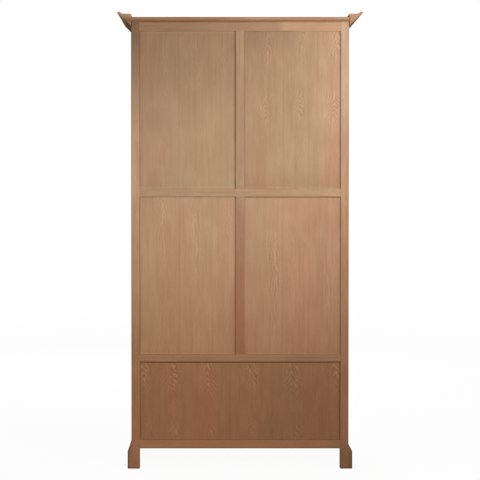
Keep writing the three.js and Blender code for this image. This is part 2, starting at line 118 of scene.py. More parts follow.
class WardrobeSizes(bpy.types.PropertyGroup):
    """Sizes of the eased edges and of the small work."""

    post_round: length("Post rounding", "Radius of the posts' outer edges", 0.0065)
    sole_arris: length("Sole arris", "Width of the eased edges under the feet", 0.0035)
    ear_round: length("Ear rounding", "Radius of the ears' edges", 0.0028)
    top_round: length("Top board rounding", "Radius of the top board's long edges", 0.0025)
    arris: length("Arris", "Width of the plainly eased edges", 0.0013)
    fine_arris: length("Fine arris", "Width of the eased edges at flush joints", 0.0005)
    shelf_arris: length("Inside arris", "Width of the eased edges of the inside boards", 0.0018)
    bead_width: length("Bead width", "Width of the bead round a door panel", 0.009)
    bead_rise: length("Bead rise", "Height of the bead above its panel", 0.0042)
    cock_bead: length("Drawer bead", "Width of the bead round a drawer front", 0.0055)
    cock_rise: length("Drawer bead rise", "How far the bead stands out of a drawer front", 0.0018)
    plate_arris: length("Plate arris", "Width of the eased edges of the brass plates", 0.0004)
    rim_radius: length("Plate rim", "Radius of the rim wire of a brass plate", 0.0012)
    pin_head: length("Pin head", "Radius of the domed pins of the brass plates", 0.003)
    leaf: length("Veneer leaf", "Width of one leaf of the panels' veneer", 0.14)
    ring: length("Growth ring", "Mean width of a growth ring in the solid wood", 0.0042)


class WardrobeColours(bpy.types.PropertyGroup):
    """Colours of the woods and of the brass."""

    rosy: colour("Rosy wood", "The pinkish bands of the wood", 187, 143, 114)
    olive: colour("Olive wood", "The greenish-tan bands of the wood", 176, 147, 112)
    line: colour("Ring line", "The dense line that ends each growth ring", 141, 101, 74)
    pale: colour("Pale line", "The pale wood that starts each growth ring", 216, 180, 145)
    pore: colour("Pores", "The open pores of the wood", 104, 71, 49)
    # The colour of painted shade, on edges and undersides that turn away from the light and along the panels'
    # frames
    painted_shade: colour("Grime", "The darker finish in corners", 98, 60, 37)
    inside: colour("Inside wood", "The bare wood inside", 201, 172, 136)
    inside_line: colour("Inside line", "The ring lines of the bare wood", 166, 129, 92)
    end_grain: colour("End grain", "Cut ends of the bare wood", 158, 118, 80)
    brass: colour("Brass", "The rubbed places of the brass", 199, 160, 92)
    patina: colour("Patina", "The dull places of the brass", 112, 84, 48)
    floor: colour("Floor", "The studio floor", 244, 243, 241)


class WardrobeStage(bpy.types.PropertyGroup):
    """The camera, the lamps and the floor."""

    distance: length("Camera distance", "From the framed back to the camera", 6.39)
    view_height: length("View height", "Height of the picture at the framed back", 2.098)
    camera_side: length("Camera side step", "How far the camera stands from the middle", 0.103)
    camera_height: length("Camera height", "Height of the camera over the floor", 1.258)
    camera_tilt: dial("Camera tilt", "How far the camera looks down", math.radians(1.2), subtype="ANGLE")
    shift_across: dial("Shift across", "Sideways shift of the lens", 0.049, min=-0.5, max=0.5)
    shift_down: dial("Shift down", "Downward shift of the lens", 0.0572, min=-0.5, max=0.5)
    key_level: dial("Key", "Light of the lamp behind the back", 0.72, min=0.0)
    fill_level: dial("Fill", "Light of the lamp before the doors", 0.62, min=0.0)
    sky_level: dial("Sky", "Light from all round", 0.34, min=0.0)
    floor_glow: dial("Floor glow", "Share of the floor's own white near the wardrobe", 0.95, min=0.0, max=1.0)
    floor_size: length("Floor size", "Width of the studio floor", 120.0)


# Material nodes

# Layers of noise: how fast each varies per metre (in wood across, through and along the grain), its detail
# and its roughness
LAYERS = {
    "bend": ((3.0, 3.0, 2.6), 1.5, 0.5),
    "ripple": ((55.0, 55.0, 9.0), 2.0, 0.6),
    "drift": ((0.0, 1.0, 4.5), 1.0, 0.5),
    "wobble": ((30.0, 1.0, 22.0), 2.0, 0.55),
    "swell": ((9.0, 1.0, 6.0), 1.0, 0.5),
    "gaps": ((60.0, 1.0, 22.0), 2.0, 0.6),
    "rubbing": ((25.0, 25.0, 25.0), 3.0, 0.6),
    "bands": ((13.0, 13.0, 0.9), 2.0, 0.55),
    "panel bands": ((7.5, 7.5, 0.8), 2.0, 0.55),
    "streaks": ((95.0, 95.0, 3.6), 3.0, 0.6),
    "fibres": ((420.0, 420.0, 14.0), 2.0, 0.6),
    "clouds": ((5.0, 5.0, 2.2), 2.0, 0.5),
    "mottle": ((26.0, 26.0, 9.0), 2.0, 0.6),
    "pores": ((1500.0, 1500.0, 70.0), 1.0, 0.5),
    "bare bands": ((9.0, 9.0, 0.9), 2.0, 0.5),
    "bare streaks": ((120.0, 120.0, 4.0), 3.0, 0.6),
    "brass mottle": ((70.0, 70.0, 70.0), 3.0, 0.55),
    "brass pits": ((420.0, 420.0, 420.0), 2.0, 0.5),
    "brass scratches": ((2600.0, 900.0, 160.0), 2.0, 0.5),
}


class Signal:
    """A socket among one material's nodes. Python's operators on values stand for its Math nodes."""

    def __init__(self, tree, socket=None):
        self.tree = tree
        self.socket = socket

    def node(self, kind, settings=None, values=None, output=0):
        """Adds a node: its settings first, then the values or links of its sockets."""
        made = self.tree.nodes.new("ShaderNode" + kind)
        for setting, value in (settings or {}).items():
            setattr(made, setting, value)
        for key, value in (values or {}).items():
            socket = made.inputs[key]
            if isinstance(value, Signal):
                self.tree.links.new(value.socket, socket)
            else:
                socket.default_value = value
        return Signal(self.tree, made.outputs[output] if made.outputs else None)

    def maths(self, operation, *others, kind="Math", output=0):
        """A Math or VectorMath node that takes this value first."""
        return self.node(kind, {"operation": operation}, dict(enumerate((self, *others))), output)

    def __add__(self, other):
        return self.maths("ADD", other)

    def __sub__(self, other):
        return self.maths("SUBTRACT", other)

    def __rsub__(self, other):
        return self.node("Math", {"operation": "SUBTRACT"}, {0: other, 1: self})

    def __mul__(self, other):
        return self.maths("MULTIPLY", other)

    def __truediv__(self, other):
        return self.maths("DIVIDE", other)

    def __pow__(self, power):
        return self.maths("POWER", power)

    def part(self, axis):
        """One of a vector's three parts."""
        return self.node("SeparateXYZ", values={"Vector": self}, output=axis)

    def moved(self, offset):
        return self.maths("ADD", offset, kind="VectorMath")

    def layer(self, name, output="Fac"):
        """One layer of smooth noise at this place, 0 to 1."""
        rates, detail, roughness = LAYERS[name]
        stretched = self.maths("MULTIPLY", rates, kind="VectorMath")
        values = {"Vector": stretched, "Scale": 1.0, "Detail": detail, "Roughness": roughness}
        return self.node("TexNoise", values=values, output=output)

    def ramp(self, low, high, start=0.0, end=1.0):
        """A smooth step from one value to another while this one runs from low to high."""
        values = {"Value": self, "From Min": low, "From Max": high, "To Min": start, "To Max": end}
        return self.node("MapRange", {"interpolation_type": "SMOOTHSTEP"}, values)

    def blend(self, first, second, how="MIX"):
        """From the first colour to the second, by this value."""
        settings = {"data_type": "RGBA", "blend_type": how, "clamp_factor": True}
        # The colours' sockets share their names with others, so they go by number.
        return self.node("Mix", settings, {"Factor": self, 6: first, 7: second}, 2)


def rgba(tone, level=1.0):
    return (tone[0] * level, tone[1] * level, tone[2] * level, 1.0)


def new_material(name):
    """An empty material, with the object's own place in metres as its first signal, and the colours."""
    material = bpy.data.materials.new(name)
    material.use_nodes = True
    material.node_tree.nodes.clear()
    place = Signal(material.node_tree).node("TexCoord", output="Object")
    return material, place, bpy.context.scene.wardrobe_colours


def finish_material(place, colours, base, roughness, height, bump, **fixed):
    """Rubs the eased edges paler, paints shade on the marked faces, and joins the signals to a Principled
    shader, with fixed values on other sockets.
    """
    normal = place.node("Bump", {}, {"Strength": 1.0, "Distance": bump, "Height": height})
    values = {"Base Color": worn_and_shaded(base, place, colours), "Roughness": roughness, "Normal": normal}
    values.update({name.replace("_", " "): value for name, value in fixed.items()})
    shader = place.node("BsdfPrincipled", {}, values)
    place.node("OutputMaterial", {}, {"Surface": shader})


QUARTER = math.pi / 2
# How a board's own directions are turned: along an axis, or upright in a side panel
TURNS = {
    "X": (0.0, QUARTER, 0.0),
    "Y": (-QUARTER, 0.0, 0.0),
    "Z": (0.0, 0.0, 0.0),
    "Z of a side": (0.0, 0.0, QUARTER),
}


def board_place(place, node, grain):
    """A board's own place: across, through and along its grain, from the middle of the board."""
    low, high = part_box(node)
    values = {"Vector": place, "Location": (low + high) / 2, "Rotation": TURNS[grain]}
    return place.node("Mapping", {"vector_type": "TEXTURE"}, values)


def growth_rings(local, seed, pith, wander, spread=1.0):
    """How far each place is through its growth ring, 0 to 1, in a board from a slightly bent trunk."""
    ring = bpy.context.scene.wardrobe_sizes.ring * spread
    bend = local.moved((seed, seed * 2, seed * 3)).layer("bend", "Color")
    ripple = local.moved((seed * 5, seed, seed)).layer("ripple")
    x = local.part("X") - pith[0] + (bend.part("X") - 0.5) * wander[0]
    y = local.part("Y") + pith[1] + (bend.part("Y") - 0.5) * wander[1]
    radius = (x * x + y * y).maths("SQRT") + (ripple - 0.5) * 0.0028
    uneven = local.node("TexNoise", {"noise_dimensions": "1D"}, {"W": radius * 60.0 + seed, "Scale": 1.0})
    return ((radius + uneven * 0.006) / ring).maths("FRACT")


def sawn(pith=(0.11, 0.06)):
    """The figure of a solid board: the shares of pale early wood and of dense late wood."""

    def figure(local, seed):
        rings = growth_rings(local, seed, pith, (0.012, 0.02))
        pale = (1 - rings) ** 3.0 * 0.34
        dense = rings.ramp(0.55, 1.0) * rings.ramp(1.0, 0.94) * 0.4
        return pale, dense

    return figure


def leaves(width, joint):
    """Four like leaves, laid about a joint: each one's middle, its strength and how far its peaks rise."""
    return tuple((joint + width * (step + 0.5), 1.0, 0.0) for step in range(-2, 2))


def veneer(laid, flames, curl=0.006, ring=0.0068, point=1.25, lean=0.0, far_flank=1.0):
    """The figure of crown-cut leaves, laid side by side: straight at their edges, with nested peaks between.

    Each flame is one set of peaks: its lowest and highest place from the middle of the panel, how far the cut
    climbs through the growth rings there, and how strongly it shows. The point shapes the peaks, from 1 for
    straight flanks to 2 for round arches."""

    def figure(local, seed):
        across, along = local.part("X"), local.part("Z")
        middle, strength, rise = laid[0]
        inside = across - middle
        number = 0.0
        from_joint = 1.0
        for near, far in zip(laid, laid[1:]):
            joint = (near[0] + far[0]) / 2
            beyond = across.maths("GREATER_THAN", joint)
            inside = inside - beyond * (far[0] - near[0])
            strength = beyond * (far[1] - near[1]) + strength
            rise = beyond * (far[2] - near[2]) + rise
            number = beyond + number
            from_joint = (across - joint).maths("ABSOLUTE").maths("MINIMUM", from_joint)
        own = local.node("CombineXYZ", {}, {0: inside, 1: number * 1.3 + seed, 2: along})
        drift = own.layer("drift")
        leant = inside - along * lean + (drift - 0.5) * 0.05
        offset = (leant + (own.layer("wobble") - 0.5) * curl).maths("ABSOLUTE")
        depth = (own.layer("swell") - 0.5) * 0.012 + 0.03
        shown = 0.0
        place_up = along + (drift - 0.5) * 0.08 - rise
        for low, high, climb, level in flames:
            depth = depth + place_up.ramp(low, high, 0.0, climb)
            window = place_up.ramp(low - 0.07, low + 0.02) * place_up.ramp(high + 0.04, high - 0.01)
            shown = window * level + shown
        radius = (offset ** point + depth ** point) ** (1 / point)
        rings = (radius / ring).maths("FRACT")
        crown = offset.ramp(0.046, 0.01) * leant.ramp(-0.006, 0.012, 1.0, far_flank)
        seen = shown * strength * crown * own.layer("gaps").ramp(0.3, 0.56) + 0.08
        pale = rings.ramp(0.72, 0.22) * rings.ramp(0.0, 0.16) * seen
        dense = rings.ramp(0.62, 0.9) * rings.ramp(1.0, 0.92) * seen * 0.45
        return pale, dense.maths("MAXIMUM", from_joint.ramp(0.0032, 0.0004) * 0.2)

    return figure


# How far a panel's edges lie in the grooves of its frame
PANEL_TONGUE = 0.0077
# How much painted shade a panel gets at its flank towards +X, at its other flank and at its head, where its
# frame's shadow falls
SIDE_FRAME_SHADE = (0.22, 0.22, 0.45)


def floorwards(tone=(0.6, 0.44, 0.355)):
    """The colour grows darker and browner from the mid rail down to the feet: a heavier stain, and painted
    shade where the light falls off towards the floor.
    """
    return ("Z", 1.3, 0.3, tone)


def footlit(rail, gain):
    """Painted light on a panel's foot, just above a back rail, which lifts the shade of its recess there."""
    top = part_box(f"back_{rail}_rail")[1].z
    return ("Z", top + 0.012, top + 0.004, (gain, gain, gain))


def stained(base, *stains, tone=1.0):
    """Lays stains over a colour, one after another. Each is an amount and the colour that it blends in."""
    for amount, stain in stains:
        base = amount.blend(base, rgba(stain, tone))
    return base


def stain_and_light(base, place, shades):
    """Multiplies the colour over parts of a board, for the stain's tone and hue, and for painted shade and
    painted light. Each shade grows along an axis, from none to its full tone; a tone above 1 lightens.

    Where it names a second axis, it also grows along that one."""
    for axis, start, end, tone, *limit in shades:
        amount = place.part(axis).ramp(start, end)
        if limit:
            amount = amount * place.part(limit[0]).ramp(limit[1], limit[2])
        base = amount.blend(base, rgba(tone), "MULTIPLY")
    return base


def worn_and_shaded(base, place, colours):
    """Rubs the eased edges a little paler, in patches, and paints shade on the faces marked below zero:
    rounded edges and undersides that turn away from the light.
    """
    edge = place.node("Attribute", {"attribute_name": "arris"}, output="Fac")
    rubbed = edge * place.layer("rubbing").ramp(0.35, 0.65) * 0.4
    return stained(base, (rubbed, colours.pale), (edge * -0.8, colours.painted_shade))


def painted_frame_shade(base, local, node, grain, colours, framed):
    """Paints shade along a panel's frame, where the frame's shadow falls on the recessed panel, by the shares
    for its flanks and head.
    """
    low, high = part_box(node)
    size = high - low
    across = local.part("X")
    half = (size.y if grain == "Z of a side" else size.x) / 2 - PANEL_TONGUE
    top = size.z / 2 - PANEL_TONGUE
    upper = across.ramp(half - 0.006, half - 0.001) * framed[0]
    lower = across.ramp(0.006 - half, 0.001 - half) * framed[1]
    head = local.part("Z").ramp(top - 0.0085, top - 0.001) * framed[2]
    return stained(base, (upper.maths("MAXIMUM", lower).maths("MAXIMUM", head), colours.painted_shade))


# The default shades: the darker stain and the painted shade towards the feet
STAIN_AND_FLOOR_SHADE = (floorwards(),)


def wood(node, grain, seed, tone=1.0, figure=None, olive=0.5, shades=STAIN_AND_FLOOR_SHADE, framed=None, sheen=0.14):
    """The stained, open-grained wood of the outside, cut along its own direction for one board."""
    material, place, colours = new_material(node + "_stained")
    local = board_place(place, node, grain)
    pale, dense = (figure or sawn())(local, seed)
    seeded = local.moved((seed * 7, seed * 3, seed * 11))
    bands = seeded.layer("panel bands" if framed else "bands").ramp(0.3, 0.7)
    streaks = seeded.layer("streaks")
    pores = seeded.layer("pores").ramp(0.58, 0.7) * (pale + 0.2)
    share = bands * 0.6 + (olive - 0.3)
    base = share.blend(rgba(colours.rosy, tone), rgba(colours.olive, tone))
    base = stained(
        base,
        (pale, colours.pale),
        (dense, colours.line),
        (streaks.ramp(0.35, 0.75) * (0.19 if framed else 0.3), colours.line),
        (seeded.layer("fibres").ramp(0.66, 0.36) * 0.1, colours.pale),
        (seeded.layer("clouds").ramp(0.62, 0.3) * 0.18, colours.line),
        (seeded.layer("mottle").ramp(0.4, 0.7) * 0.14, colours.pale),
        (pores * 0.55, colours.pore),
        tone=tone,
    )
    base = stain_and_light(base, place, shades)
    if framed:
        base = painted_frame_shade(base, local, node, grain, colours, framed)
    roughness = pores * 0.15 + (streaks - 0.5) * 0.1 + 0.72
    height = streaks * 0.1 - pores - dense * 0.3
    finish_material(place, colours, base, roughness, height, 0.0002, Specular_IOR_Level=sheen)
    return material


def bare_wood(node, grain, seed, pith=(0.12, 0.05), dovetails=False):
    """The paler wood inside, which has no stain."""
    material, place, colours = new_material(node + "_bare")
    local = board_place(place, node, grain)
    rings = growth_rings(local, seed, pith, (0.02, 0.03), 1.3)
    seeded = local.moved((seed * 5, seed * 9, seed))
    streaks = seeded.layer("bare streaks")
    dense = rings.ramp(0.35, 1.0) * rings.ramp(1.0, 0.9)
    base = stained(
        rgba(colours.inside),
        (dense * 0.55, colours.inside_line),
        (streaks.ramp(0.45, 0.8) * 0.25, colours.inside_line),
        (seeded.layer("bare bands").ramp(0.35, 0.7) * 0.18, colours.pale),
    )
    if dovetails:
        base = dovetailed(base, place, node, colours)
    height = streaks * 0.2 - dense * 0.2
    roughness = (streaks - 0.5) * 0.1 + 0.68
    finish_material(place, colours, base, roughness, height, 0.0002, Specular_IOR_Level=0.2)
    return material


# The thickness of a drawer box's walls, and the spacing of its dovetails
DRAWER_WALL = 0.012
DOVETAIL_PITCH = 0.052


def dovetailed(base, place, node, colours):
    """Shows the cut ends of the dovetails at a drawer box's corners, on its long sides."""
    low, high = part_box(node)
    depth = place.part("Y")
    from_end = (depth - low.y).maths("MINIMUM", high.y - depth)
    row = ((place.part("Z") - low.z) / DOVETAIL_PITCH).maths("FRACT")
    flank = (row - 0.5).maths("ABSOLUTE") - 0.2 - from_end * 5.0
    tail = flank.ramp(0.01, -0.01) * from_end.ramp(DRAWER_WALL, DRAWER_WALL - 0.0004)
    outline = flank.maths("ABSOLUTE").ramp(0.02, 0.0) * from_end.ramp(DRAWER_WALL + 0.0006, DRAWER_WALL)
    shoulder = (from_end - DRAWER_WALL).maths("ABSOLUTE").ramp(0.0006, 0.0)
    lines = outline.maths("MAXIMUM", shoulder) * 0.7
    return stained(base, (tail * 0.75, colours.end_grain), (lines, colours.pore))


def brass(name):
    """Aged brass: rubbed bright in some patches and dull in others, with pits and fine scratches."""
    material, place, colours = new_material(name)
    dull = place.layer("brass mottle").ramp(0.3, 0.75)
    pits = place.layer("brass pits").ramp(0.64, 0.74)
    scratches = place.layer("brass scratches")
    base = stained(rgba(colours.brass), (dull * 0.75, colours.patina))
    base = stained(base, (pits * 0.5, colours.patina), tone=0.5)
    roughness = dull * 0.16 + (scratches - 0.5) * 0.12 + 0.32
    finish_material(place, colours, base, roughness, scratches * 0.2 - pits * 0.3, 0.00008, Metallic=1.0)
    return material


# Mesh work

def merged(node):
    """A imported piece's mesh, with its loose triangles joined and its flat faces made whole."""
    bm = bmesh.new()
    bm.from_mesh(frame["nodes"][node].data)
    bmesh.ops.remove_doubles(bm, verts=bm.verts, dist=2e-6)
    bmesh.ops.dissolve_limit(bm, angle_limit=math.radians(0.5), verts=bm.verts, edges=bm.edges)
    return bm


def run_of(edge):
    """The main direction of an edge, or None where it lies between them."""
    step = edge.verts[1].co - edge.verts[0].co
    for axis, name in enumerate("XYZ"):
        if abs(step[axis]) > 0.999 * step.length:
            return name


def middle_of(edge):
    return (edge.verts[0].co + edge.verts[1].co) / 2


def at_face(box, place, axis):
    """Whether a place lies on one of the two faces of a box that an axis meets."""
    return any(abs(place[axis] - corner[axis]) < TOUCH for corner in box)


def sharp_edges(bm, wanted=None):
    """The outward corners of a mesh that a test accepts."""
    return [
        edge for edge in bm.edges
        if edge.is_manifold and edge.is_convex and edge.calc_face_angle() > math.radians(20)
        and (wanted is None or wanted(edge))
    ]


def on_box(node, axes):
    """A test for edges that run along given directions on the outside of a piece's box."""
    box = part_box(node)

    def test(edge):
        run, middle = run_of(edge), middle_of(edge)
        return run in tuple(axes) and all(at_face(box, middle, i) for i in range(3) if "XYZ"[i] != run)

    return test


def underneath(node):
    """A test for the long lower edges of a rail."""
    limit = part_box(node)[0].z + TOUCH
    return lambda edge: run_of(edge) == "X" and all(vert.co.z < limit for vert in edge.verts)


def ease(bm, edges, width, segments=2, wear_and_shade=1.0):
    """Rounds the edges and marks the new faces: rubbed paler above zero, and painted shade below it."""
    mark = bm.faces.layers.float.get("arris") or bm.faces.layers.float.new("arris")
    edges = [edge for edge in edges if edge.is_valid]
    if not edges or width <= 0:
        return
    made = bmesh.ops.bevel(
        bm, geom=edges, offset=width, segments=segments, profile=0.5, affect="EDGES", clamp_overlap=True,
    )
    for face in made["faces"]:
        face[mark] = wear_and_shade


def placed(name, data):
    """A new object in the scene."""
    made = bpy.data.objects.new(name, data)
    bpy.context.scene.collection.objects.link(made)
    return made


def finished(bm, name, material, body, stands_for=()):
    """Makes a piece, which takes its material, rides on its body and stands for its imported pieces."""
    mesh = bpy.data.meshes.new(name)
    bm.to_mesh(mesh)
    bm.free()
    for face in mesh.polygons:
        face.use_smooth = True
    mesh.set_sharp_from_angle(angle=math.radians(35))
    mesh.materials.append(material)
    piece = placed(name, mesh)
    piece.modifiers.new("even_shading", "WEIGHTED_NORMAL").keep_sharp = True
    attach(piece, body)
    if stands_for:
        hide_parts(*stands_for)
    return piece


def dressed(node, material, slot, *easings):
    """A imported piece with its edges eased: each easing is a test for edges, a width, segments and a wear."""
    bm = merged(node)
    for wanted, *how in easings:
        ease(bm, sharp_edges(bm, wanted), *how)
    return finished(bm, node + "_dressed", material, body_of(frame["nodes"][node])[0], (node,))


def frame_board(node, grain, seed, *easings, **finish):
    """A board of the frame, whose long edges are finely eased after any other easings."""
    fine = (on_box(node, grain), bpy.context.scene.wardrobe_sizes.fine_arris, 1)
    return dressed(node, wood(node, grain, seed, **finish), "frame_wood", *easings, fine)


def inside_board(node, axes, seed, **finish):
    """A board of bare wood, eased along the given axes. The last of them is its grain."""
    width = bpy.context.scene.wardrobe_sizes.shelf_arris
    material = bare_wood(node, axes[-1], seed, **finish)
    dressed(node, material, "inside_wood", (on_box(node, axes), width, 2))


def marked(mesh, wanted, wear_and_shade, below=math.inf):
    """Sets the mark of the faces that a test accepts and whose mark lies below a limit: rubbed paler above
    zero, painted shade below it.
    """
    wear_and_shade_marks = mesh.attributes["arris"].data
    for face in mesh.polygons:
        if wear_and_shade_marks[face.index].value < below and wanted(face):
            wear_and_shade_marks[face.index].value = wear_and_shade


def arc(turn, steps):
    """The cosine and the sine of each step through an angle."""
    angles = [turn * step / steps for step in range(steps + 1)]
    return [(math.cos(angle), math.sin(angle)) for angle in angles]


def spun(bm, profile, centre, axis, turn=math.tau, steps=32):
    """Turns an open profile of points about an axis."""
    points = [bm.verts.new(point) for point in profile]
    edges = [bm.edges.new(pair) for pair in zip(points, points[1:])]
    whole = turn == math.tau
    bmesh.ops.spin(bm, geom=points + edges, cent=centre, axis=axis, angle=turn, steps=steps, use_merge=whole)
    return bm


def turned_bar(bm, half, centre, steps):
    """Turns a bar that lies along X. The first half of its profile runs from one end to its middle."""
    profile = [(-x, reach) for x, reach in half] + list(reversed(half))
    points = [(centre.x + x, centre.y, centre.z + reach) for x, reach in profile]
    return spun(bm, points, centre, (1, 0, 0), steps=steps)


def closed(bm):
    """Merges doubles, fills open ends and turns the faces outwards."""
    bmesh.ops.remove_doubles(bm, verts=bm.verts, dist=1e-6)
    bmesh.ops.holes_fill(bm, edges=[edge for edge in bm.edges if edge.is_boundary], sides=0)
    bmesh.ops.recalc_face_normals(bm, faces=bm.faces)
    return bm


# The work on each group of pieces

# A painted shadow on the back just under the top board's overhang
UNDER_BOARD_SHADOW = ("Z", 1.9525, 1.9555, (0.75, 0.66, 0.53))
# The tone and the shades of the posts that differ from the rest: painted light high on the left post and
# painted shade high on the right one, where the lamp's light falls unevenly, and the painted shadow under the
# top board
POST_STAIN_AND_LIGHT = {
    "back_left_post": (
        0.98,
        (
            floorwards((0.556, 0.445, 0.415)),
            ("Z", 1.32, 1.0, (0.953, 0.9, 0.83)),
            ("Z", 1.32, 1.66, (1.15, 1.25, 1.36)),
            ("Z", 0.16, 0.04, (0.78, 0.8, 0.78)),
            UNDER_BOARD_SHADOW,
        ),
    ),
    "back_right_post": (1.17, (floorwards(), ("Z", 1.4, 1.98, (0.44, 0.39, 0.385)))),
}
# Painted shade on the outer flare of each foot, which turns away from the light
FOOT_FLARE_SHADE = {"left": (0.86, 0.87, 0.88), "right": (0.76, 0.84, 0.88)}
# The mark for painted shade on rounded edges and undersides that turn away from the light
EDGE_SHADE = -1.1


def post_edges(node):
    """Tests for a post's edges: outside, down the foot's flare too, inside, and at the foot's sole."""
    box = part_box(node)
    # How far the posts' straight outer faces stand from the middle
    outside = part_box("top_right_ear")[0].x - 0.00005

    def outer(edge):
        corners = [vert.co for vert in edge.verts]
        at_edge = all(at_face(box, co, 1) and abs(co.x) > outside - TOUCH for co in corners)
        return at_edge and corners[0].z != corners[1].z

    def inner(edge):
        middle = middle_of(edge)
        return run_of(edge) == "Z" and abs(middle.x) < outside - 0.01 and at_face(box, middle, 1)

    def sole(edge):
        return max(vert.co.z for vert in edge.verts) < TOUCH

    return outer, inner, sole


class WARDROBE_OT_posts(bpy.types.Operator):
    """Dress the four posts, with their rounded outer edges"""

    bl_idname = "wardrobe.posts"
    bl_label = "Posts and Feet"

    def execute(self, context):
        sizes = context.scene.wardrobe_sizes
        for number, (name, side) in enumerate(SIDES.items()):
            # Painted shade along each foot's sole and on its outer flare
            foot = (
                ("Z", 0.0085, 0.0025, (0.45, 0.48, 0.55)),
                ("X", 0.4745 * side, 0.485 * side, FOOT_FLARE_SHADE[name]),
                ("X", 0.487 * side, 0.491 * side, (0.52, 0.5, 0.47)),
            )
            for place in ("front", "back"):
                node = f"{place}_{name}_post"
                tone, shades = POST_STAIN_AND_LIGHT.get(node, (1.05, STAIN_AND_FLOOR_SHADE))
                seed = 1.7 + number * 3.1 + (place == "front") * 5.3
                outer, inner, sole = post_edges(node)
                post = dressed(
                    node, wood(node, "Z", seed, tone, shades=shades + foot), "frame_wood",
                    (outer, sizes.post_round, 4, EDGE_SHADE),
                    (inner, sizes.fine_arris, 1),
                    (sole, sizes.sole_arris, 2, EDGE_SHADE),
                )
                # The rounded edges above the feet get lighter painted shade, where more light reaches them
                marked(post.data, lambda face: face.center.z > 0.3 and face.normal.z < 0.99, -0.25, -1.0)
        return {"FINISHED"}


DULLER = ("X", 0.3, -0.45, (0.77, 0.77, 0.77))
# The tone and the shades of each rail of the back: painted shade towards +X on the top rail, where the light
# falls off, the painted shadow under the top board, painted shade along the bottom rail's lower edge, and the
# darkening towards the feet
BACK_RAILS = {
    "top": (
        1.09,
        (("X", -0.2, -0.155, (0.79, 0.75, 0.72)), ("X", -0.1, 0.3, (0.83, 0.8, 0.77)), UNDER_BOARD_SHADOW),
    ),
    "mid": (1.02, (("X", 0.0, 0.3, (0.96, 0.97, 0.96)),)),
    "waist": (1.04, (floorwards((0.66, 0.53, 0.47)), DULLER)),
    "bottom": (
        1.23,
        (
            floorwards(),
            DULLER,
            ("X", -0.37, -0.42, (0.82, 0.97, 0.85)),
            ("Z", 0.0965, 0.0925, (0.8, 0.82, 0.82)),
        ),
    ),
}
# The seed, tone, share of olive bands, painted shade along the frame, shades and figure of each panel of the
# back. The shades hold painted light where the frame's shadows and the recess darken a panel, and painted
# shade where the light falls off towards the top.
BACK_PANELS = {
    "back_upper_left_panel": (
        31.0, 0.99, 0.52, (0.3, 0.0, 0.0),
        (
            footlit("mid", 1.22),
            ("Z", 1.36, 1.24, (0.9, 0.87, 0.86)),
            ("X", -0.3, -0.04, (0.86, 0.86, 0.84), "Z", 1.42, 1.8),
            ("X", -0.32, -0.2, (0.88, 0.88, 0.88), "Z", 1.79, 1.89),
            ("X", -0.26, -0.36, (1.08, 1.09, 1.1), "Z", 1.44, 1.56),
        ),
        veneer(
            ((-0.182, 1.0, 0.0), (-0.035, 0.7, 0.01), (0.116, 0.8, -0.01)),
            ((-0.04, 0.06, 0.034, 0.6), (0.25, 0.36, 0.03, 0.5)), 0.036, 0.0088, lean=-0.03,
        ),
    ),
    "back_upper_right_panel": (
        37.4, 0.99, 0.66, (0.34, 0.0, 0.0),
        (
            footlit("mid", 1.22),
            ("Z", 1.45, 1.95, (0.8, 0.76, 0.74)),
            # Painted light under the top rail, where its shadow falls
            ("Z", 1.904, 1.912, (1.12, 1.12, 1.12)),
            ("X", 0.24, 0.36, (0.92, 0.92, 0.92), "Z", 1.42, 1.52),
        ),
        veneer(
            ((-0.158, 0.8, 0.0), (-0.027, 1.0, 0.02), (0.104, 1.0, -0.02)),
            ((0.06, 0.13, 0.014, 0.2), (0.17, 0.26, 0.018, 0.2)), 0.024,
        ),
    ),
    "back_lower_left_panel": (
        43.9, 1.01, 0.36, (0.12, 0.0, 0.58),
        (
            floorwards((0.61, 0.49, 0.43)),
            footlit("waist", 1.2),
            ("X", -0.27, -0.36, (0.93, 0.92, 0.93)),
            ("X", -0.24, -0.12, (1.06, 1.07, 1.07), "Z", 0.88, 0.74),
            # Painted light beside the post, where its shadow falls
            ("X", -0.435, -0.4365, (1.32, 1.22, 1.05)),
        ),
        veneer(
            ((-0.15, 0.5, -0.1), (0.006, 0.3, 0.0), (0.083, 1.0, 0.0)),
            ((-0.05, 0.16, 0.016, 0.34), (-0.32, -0.14, 0.016, 0.16)), 0.03, 0.008,
        ),
    ),
    "back_lower_right_panel": (
        48.2, 1.09, 0.44, (0.6, 0.0, 0.12),
        (
            floorwards((0.72, 0.6, 0.52)),
            footlit("waist", 1.2),
            ("X", 0.15, 0.07, (0.91, 0.91, 0.91), "Z", 0.86, 0.74),
            # Painted light beside the centre stile, where its shadow falls
            ("X", 0.025, 0.0236, (1.42, 1.18, 1.06)),
        ),
        veneer(
            ((-0.18, 0.4, 0.0), (-0.04, 0.6, -0.06), (0.11, 1.0, 0.0)),
            ((0.1, 0.34, 0.016, 0.32), (-0.3, -0.1, 0.014, 0.14)), 0.03, 0.008,
        ),
    ),
    "back_base_panel": (
        55.5, 1.03, 0.56, (0.5, 0.0, 0.92), (floorwards(), DULLER, footlit("bottom", 1.12)),
        veneer(
            (
                (-0.431, 0.9, 0.0), (-0.23, 1.1, 0.0), (-0.05, 0.8, 0.0), (0.136, 0.9, -0.01),
                (0.294, 1.0, 0.0), (0.415, 0.9, 0.01),
            ),
            ((-0.25, 0.3, 0.18, 0.0), (0.075, 0.16, 0.0, 1.05), (-0.155, -0.12, 0.0, 0.5)),
            0.046, 0.013, 1.1, lean=0.06, far_flank=0.45,
        ),
    ),
}


